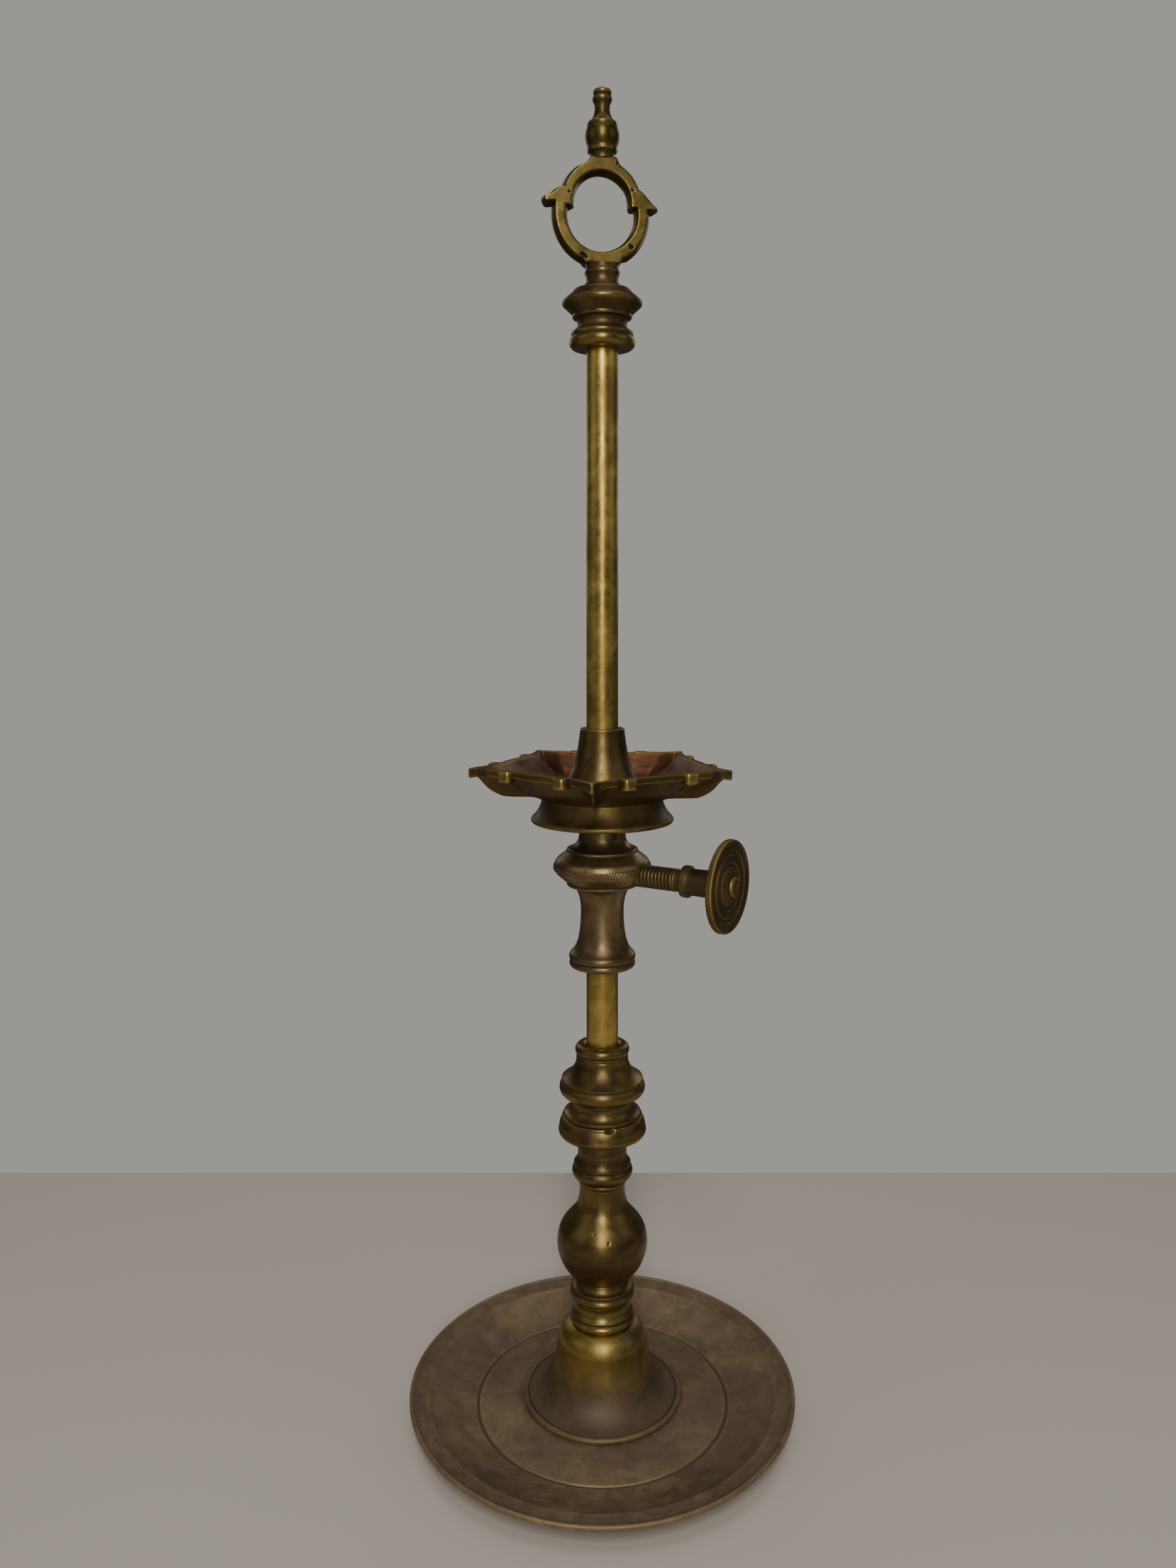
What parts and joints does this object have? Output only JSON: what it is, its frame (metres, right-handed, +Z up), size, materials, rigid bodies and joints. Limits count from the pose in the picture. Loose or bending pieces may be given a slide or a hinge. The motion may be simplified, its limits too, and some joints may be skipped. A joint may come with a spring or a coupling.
{
  "type": "standing oil lamp",
  "caption": "Tall standing brass oil lamp: a spouted wick pan slides on a round rod and is clamped by a thumbscrew, on a turned stem and round drip dish, with a carrying ring on top.",
  "frame": {"origin": "centre of the lamp's footprint, on the plane that it stands on", "axes": "+Z up along the stem and rod; the lamp's front faces -Y; +X is to the right seen from the front"},
  "size_m": [0.19, 0.19, 0.61],
  "materials": {
    "dish_brass": "dull brown patina, worn along the lip",
    "stem_brass": "aged, turned, dark in the grooves",
    "hidden_brass": "plain machined",
    "rod_brass": "drawn, rubbed bright by the slider",
    "ring_brass": "cast, worn smooth by handling",
    "pan_brass": "cast, oil-stained reddish brown inside",
    "screw_brass": "turned, bright along the grip's edge"
  },
  "bodies": {
    "stand": {"base_dish": "dish_brass", "base_bell": "stem_brass", "base_washer": "hidden_brass", "base_nut": "hidden_brass", "tie_stud": "hidden_brass", "lower_collar": "stem_brass", "baluster": "stem_brass", "drip_skirt": "stem_brass", "rod_socket": "stem_brass", "stem_rod": "rod_brass", "finial_spool": "stem_brass", "ring_handle": "ring_brass", "top_knob": "ring_brass"},
    "slider": {"pan_foot": "stem_brass"},
    "pan": {"pan_tube": "pan_brass", "pan_bowl": "pan_brass"},
    "clamp_sleeve": {"sleeve": "stem_brass"},
    "screw_travel": {"thumbscrew_rivet": "screw_brass"},
    "thumbscrew": {"thumbscrew_shank": "screw_brass", "thumbscrew_disc": "screw_brass"}
  },
  "joints": [
    {"name": "pan_height", "type": "slide", "parent": "stand", "child": "slider", "axis": [0, 0, 1], "range_m": [-0.038, 0.165]},
    {"name": "pan_turn", "type": "hinge", "parent": "slider", "child": "pan", "pos_m": [0, 0, 0.3065], "axis": [0, 0, 1], "continuous": true},
    {"name": "sleeve_turn", "type": "hinge", "parent": "slider", "child": "clamp_sleeve", "pos_m": [0, 0, 0.265], "axis": [0, 0, 1], "continuous": true},
    {"name": "screw_travel", "type": "slide", "parent": "clamp_sleeve", "child": "screw_travel", "axis": [0.866, -0.5, 0], "range_m": [0, 0.00545]},
    {"name": "screw_turn", "type": "hinge", "parent": "screw_travel", "child": "thumbscrew", "pos_m": [0.05499, -0.03175, 0.2718], "axis": [0.866, -0.5, 0], "range_deg": [0, 1080]}
  ],
  "couplings": [
    {"joint": "screw_travel", "follows": "screw_turn", "m_per_rad": 0.00028648}
  ]
}
